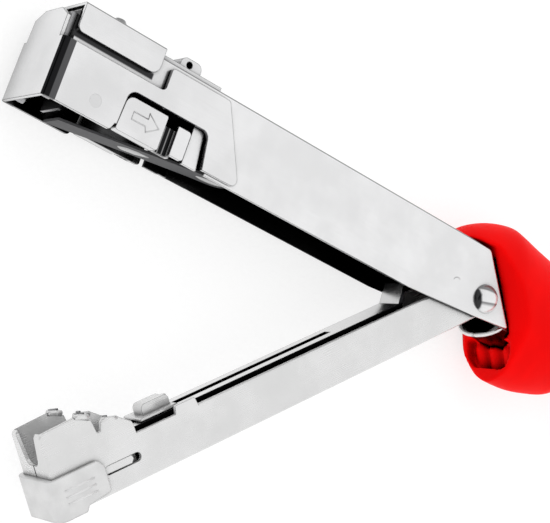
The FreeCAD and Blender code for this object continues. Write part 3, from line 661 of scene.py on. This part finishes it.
# along the arm, and the height of the lowest line: the room in the grip, the tube and its bore
TUBE_ROOM = [(-14.0, -10.4), (30.0, -10.2), (48.0, -3.0), (118.0, -3.0)]
TUBE = [(11.0, -10.2)] + TUBE_ROOM[1:]
TUBE_BORE = [(6.0, -10.2), (30.0, -10.2), (48.0, -3.0), (117.0, -3.0)]
TUBE_CLEARANCE = 0.3
TUBE_WALL = 1.2
TONGUE = [(-24.0, 14.6), (13.0, 14.6), (13.0, 15.8), (-24.0, 15.8)]
TONGUE_HALF = 7.5


def tube_solid(run, grow):
    """A solid tube along a run, grown outwards by a distance."""
    return closed_mesh([tube_outline(x, low, grow) for x, low in run])


def tube_outline(x, low, grow):
    """Cross-section of the handle tube: flat top, straight sides and a curved underside."""
    half = 10.0 + grow
    top = 15.8 + grow
    ring = [(x, -half, top), (x, half, top)]
    for i in range(25):
        share = 1 - 2 * i / 24
        sag = 3.9 * (1 - abs(share) ** 2.4)
        ring.append((x, half * share, low + 3.9 - sag - grow))
    return ring


def handle_tube():
    """Steel tube in the grip with a curved mouth, and its tongue under the arm's top."""
    tools = [("DIFFERENCE", tube_solid(TUBE_BORE, -TUBE_WALL)),
             ("UNION", prism(TONGUE, TONGUE_HALF))]
    mesh = shape_with(tube_solid(TUBE, 0.0), tools)
    mesh.transform(ARM)
    piece = add_piece("tube_shell", mesh, "tube_steel", "arm", smooth=False)
    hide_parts("handle_tube")
    rim = eased([(11.0, 9.7, -5.2), (10.8, 8.6, -7.4), (10.6, 5.2, -9.2), (10.6, 0.0, -9.75),
                 (10.9, -5.2, -9.1), (12.0, -8.6, -7.2), (13.2, -9.7, -5.0)], 5)
    bead("tube_mouth_rim", rim, 0.75, ARM, "tube_steel", "arm", finish="tube_rim")


def grip():
    """Moulded grip: flared guard, rounded lip round the arm, and a ribbed recess under the tube."""
    rings = [oval(*section) for section in eased(GRIP_SECTIONS, 4)]
    tools = [("DIFFERENCE", mouth_cutter()), ("DIFFERENCE", recess_cutter())]
    for y in RECESS_RIBS:
        top, foot = (Vector((x, y, z)) for x, z in (RIB_TOP, RIB_FOOT))
        tools.append(("UNION", capsule(top, foot, RIB_RADIUS)))
    tools.append(("DIFFERENCE", tube_solid(TUBE_ROOM, TUBE_CLEARANCE)))
    mesh = shape_with(closed_mesh(rings), tools, remesh=0.62, smooth=6)
    mesh.transform(ARM)
    piece = add_piece("grip_skin", mesh, "grip_red", "arm")
    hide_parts("grip")


# ---------------------------------------------------------------- springs


def ribbon(path, half, thickness):
    """Rings of a strip of even thickness that follows a side-view path."""
    rings = []
    for i, point in enumerate(path):
        before = path[max(i - 1, 0)]
        after = path[min(i + 1, len(path) - 1)]
        along = (after - before).normalized()
        up = Vector((-along.y, along.x)) * thickness
        rings.append([(point.x, -half, point.y), (point.x, half, point.y),
                      (point.x + up.x, half, point.y + up.y),
                      (point.x + up.x, -half, point.y + up.y)])
    return rings


def rib_rings(path, half, height):
    """Rings of a low rib pressed out of the strip's underside, tapering at both ends."""
    rings = []
    last = len(path) - 1
    for i, point in enumerate(path):
        share = min(1.0, 0.25 + 3.0 * min(i, last - i) / last)
        ring = []
        for k in range(13):
            turn = math.pi * k / 12
            ring.append((point.x, half * share * math.cos(turn),
                         point.y + 0.15 - (height * share + 0.15) * math.sin(turn)))
        rings.append(ring)
    return rings


LEAF_PATH = [(-169.6, -13.2), (-161.0, -12.2), (-150.0, -10.8), (-140.0, -9.6), (-120.0, -7.3),
             (-106.0, -5.6), (-102.8, -2.4), (-108.0, 1.6), (-121.4, 12.2)]
LEAF_HALF = 4.6
LEAF_THICKNESS = 0.8
LEAF_BEND = 44  # the eased path turns back after this many points
LEAF_RIBS = (("leaf_rib_front", -147.4, -133.2), ("leaf_rib_rear", -119.4, -106.8))


def springs():
    """The bowed leaf under the arm, with its ribs, and the two coils."""
    path = eased(LEAF_PATH, 8)
    mesh = closed_mesh(ribbon(path, LEAF_HALF, LEAF_THICKNESS))
    mesh.transform(ARM)
    leaf = add_piece("leaf", mesh, "spring_steel", "arm", smooth=False)
    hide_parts("return_spring")
    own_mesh(leaf)
    for name, start, end in LEAF_RIBS:
        stretch = [p for p in path[:LEAF_BEND] if start <= p.x <= end]
        rib = closed_mesh(rib_rings(stretch, 1.9, 0.5))
        rib.transform(ARM)
        piece = add_piece(name, rib, "spring_steel", "arm", finish="spring_bright")
        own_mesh(piece)

    small = coil("latch_coil", 12, 1.0, 0.4, -136.7, -126.3, 12.3, "spring_steel", "arm")
    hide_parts("latch_spring")
    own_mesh(small)

    long = coil("pusher_coil", 30, 1.9, 0.6, -127.4, -39.1, 6.0, "spring_steel", "magazine")
    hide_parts("pusher_spring")
    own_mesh(long)


# ---------------------------------------------------------------- small details


def bead(name, points, radius, place, slot, body, closed=False, sides=8, finish=None):
    """A thin round line through points."""
    points = [Vector(p) for p in points]
    count = len(points)
    mesh = bmesh.new()
    rings = []
    for i, point in enumerate(points):
        before = points[i - 1] if closed or i else point
        after = points[(i + 1) % count] if closed or i < count - 1 else point
        along = (after - before).normalized()
        side = along.cross(Vector((0, 1, 0))).normalized()
        up = side.cross(along)
        rings.append([mesh.verts.new(point + (side * math.cos(k / sides * math.tau)
                                              + up * math.sin(k / sides * math.tau)) * radius)
                      for k in range(sides)])
    if closed:
        bridge(mesh, rings + rings[:1], closed_ends=False)
    else:
        bridge(mesh, rings)
    mesh.transform(place)
    bmesh.ops.recalc_face_normals(mesh, faces=mesh.faces)
    return add_piece(name, mesh, slot, body, finish=finish)


def blister(name, x, y, z, radius, height, place, slot, body, finish):
    """A shallow pressed dimple on a side wall."""
    side = math.copysign(1, y)
    rings = []
    for k in range(8):
        share = 1 - k / 8
        rings.append([(x + radius * share * math.cos(i / 28 * math.tau),
                       y + side * (height * (1 - share * share) - 0.02),
                       z + radius * share * math.sin(i / 28 * math.tau)) for i in range(28)])
    mesh = closed_mesh(rings)
    mesh.transform(place)
    return add_piece(name, mesh, slot, body, finish=finish)


def hinge_rivet():
    """Rivet with a tall smooth dome on each side and a plain shank between them."""
    low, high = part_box("hinge_pin")
    cad_head = 2.8
    seat = (high[2] - low[2]) / 2 / MM - cad_head
    radius = 5.0
    height = 4.1
    shank = 3.0
    profile = []
    for i in range(1, 17):
        turn = i / 16 * math.pi / 2
        profile.append((seat + height * math.cos(turn), radius * math.sin(turn)))
    profile += [(seat - 0.35, radius), (seat - 0.35, shank)]
    profile += [(-a, r) for a, r in profile[::-1]]
    turns = [k / 48 * math.tau for k in range(48)]
    mesh = closed_mesh([[(r * math.cos(turn), -a, r * math.sin(turn)) for turn in turns]
                        for a, r in profile])
    mesh.transform(ARM)
    piece = add_piece("hinge_rivet", mesh, "rivet_steel", "arm")
    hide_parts("hinge_pin")


ARROW = [(-151.9, -2.6), (-146.6, -2.6), (-146.8, -0.8), (-142.3, -3.8), (-146.2, -6.6),
         (-146.8, -5.0), (-151.9, -5.0)]
EARS = (
    ("front", 0.95, [(-160.2, 20.2), (-158.0, 19.6), (-155.9, 18.5)]),
    ("rear", 0.85, [(-152.2, 16.2), (-149.6, 15.6), (-147.2, 14.9)]),
)
# dark beads along the top of each ear: a painted dark reflection on the curled tops
EAR_TOP_REFLECTIONS = (("front", [(-159.7, 20.95), (-156.7, 20.1)]),
             ("rear", [(-151.2, 17.0), (-149.9, 16.6)]))
CHEEK_PRESS = [(-156.0, 0.75), (-146.6, 0.6), (-145.7, 1.8), (-146.2, 3.02), (-156.0, 3.02)]


def on_side(points, y):
    """Side-view points at a distance from the middle."""
    return [(x, y, z) for x, z in points]


def small_details():
    """What is on both sides: arrows, marks, dimples, ridges, ear tops, dark beads painted as the
    reflection along each ear top, and cheek plates.
    """
    for side, tag in ((-1, "near"), (1, "far")):
        bead(f"arrow_{tag}", on_side(ARROW, side * 12.58), 0.2, ARM, "latch_steel", "latch",
             closed=True)
        turns = [math.radians(t) for t in range(60, 171, 10)]
        mark = [(-14.4 + 1.7 * math.cos(turn), 0.4 + 1.5 * math.sin(turn)) for turn in turns]
        bead(f"arm_mark_{tag}", on_side(mark, side * 11.28), 0.16, ARM, "arm_chrome", "arm")
        blister(f"head_dimple_{tag}", -164.8, side * 13.0, -5.5, 2.1, 0.2, ARM, "head_chrome", "arm",
                "dimple")
        for i, height in enumerate((2.1, 0.1, -1.9)):
            ridge = on_side([(-170.6, height), (-160.4, height)], side * 10.02)
            bead(f"shoe_ridge_{tag}_{i}", ridge, 0.45, MAGAZINE, "shoe_metal", "magazine",
                 finish="cast_ridge")
        for name, radius, line in EARS:
            bead(f"{name}_ear_{tag}", on_side(line, side * 8.0), radius, MAGAZINE,
                 "magazine_nickel", "magazine", sides=16)
        # painted dark reflection along each ear top
        for name, line in EAR_TOP_REFLECTIONS:
            bead(f"{name}_ear_top_reflection_{tag}", on_side(line, side * 7.8), 0.36, MAGAZINE,
                 "magazine_nickel", "magazine", finish="blade_steel")
        mesh = prism(CHEEK_PRESS, 0.45, side * 8.2)
        mesh.transform(MAGAZINE)
        add_piece(f"cheek_press_{tag}", mesh, "magazine_nickel", "magazine", smooth=False)


# ---------------------------------------------------------------- stage, light and camera


# direction and half angle of each dark patch in the surround
DARK_PATCHES = [((-0.65, 0.52, 0.54), 13.0), ((-0.83, 0.30, 0.44), 12.0),
                ((-0.94, 0.02, 0.34), 12.0)]
SURROUND_STRENGTH = 1.08
FLOOR_HALF = 1.5
FLOOR_GLOW = 2.35


def studio():
    """A bright, even surround with a few dark patches for the polished metal to mirror."""
    world = bpy.data.worlds.new("studio")
    bpy.context.scene.world = world
    world.use_nodes = True
    n = Nodes(world.node_tree)
    background = world.node_tree.nodes["Background"]
    direction = n.coordinates("Generated")
    level = 1.0
    for aim, width in DARK_PATCHES:
        edge = math.cos(math.radians(width))
        core = math.cos(math.radians(width * 0.72))
        shade = n.span(n.dot(direction, Vector(aim).normalized()), edge, core, 1.0, 0.02)
        level = n.math("MULTIPLY", shade, level)
    n.link(n.mix(level, (0.0, 0.0, 0.0), (1.0, 1.0, 1.0)), background.inputs["Color"])
    background.inputs["Strength"].default_value = SURROUND_STRENGTH


def floor():
    """A large, plain, pale sheet under the tool, which gives off some light of its own."""
    mesh = bmesh.new()
    corners = [(-1, -1), (1, -1), (1, 1), (-1, 1)]
    mesh.faces.new([mesh.verts.new((x * FLOOR_HALF, y * FLOOR_HALF, 0)) for x, y in corners])
    data = as_mesh("floor", mesh)
    sheet = in_scene("floor", data)
    material, n, shader = new_material("floor_paper")
    paper = n.noise(n.coordinates(), 900.0, 2.0)
    tone = n.mix(paper, (0.30, 0.30, 0.30), (0.33, 0.33, 0.33))
    n.link(tone, shader.inputs["Base Color"])
    n.link(tone, shader.inputs["Emission Color"])
    shader.inputs["Emission Strength"].default_value = FLOOR_GLOW
    shader.inputs["Roughness"].default_value = 0.9
    data.materials.append(material)


def camera():
    """Looks down at the near side from ahead of the head, with the arm above the magazine."""
    data = bpy.data.cameras.new("camera")
    data.sensor_width = 36.0
    data.lens = 103.1
    view = in_scene("camera", data)
    looking = Vector((0.5915, -0.0045, -0.8063)).normalized()
    right = looking.cross(Vector((0, 1, 0))).normalized()
    up = right.cross(looking)
    turn = Matrix((right, up, -looking)).transposed().to_4x4()
    view.matrix_world = Matrix.Translation(PIN + Vector((-377.9, 15.2, 404.4)) * MM) @ turn
    bpy.context.scene.camera = view


# ---------------------------------------------------------------- build

finish_cad_nodes()
handle_tube()
grip()
springs()
small_details()
hinge_rivet()
studio()
floor()
camera()
bpy.context.scene.view_settings.view_transform = "Standard"
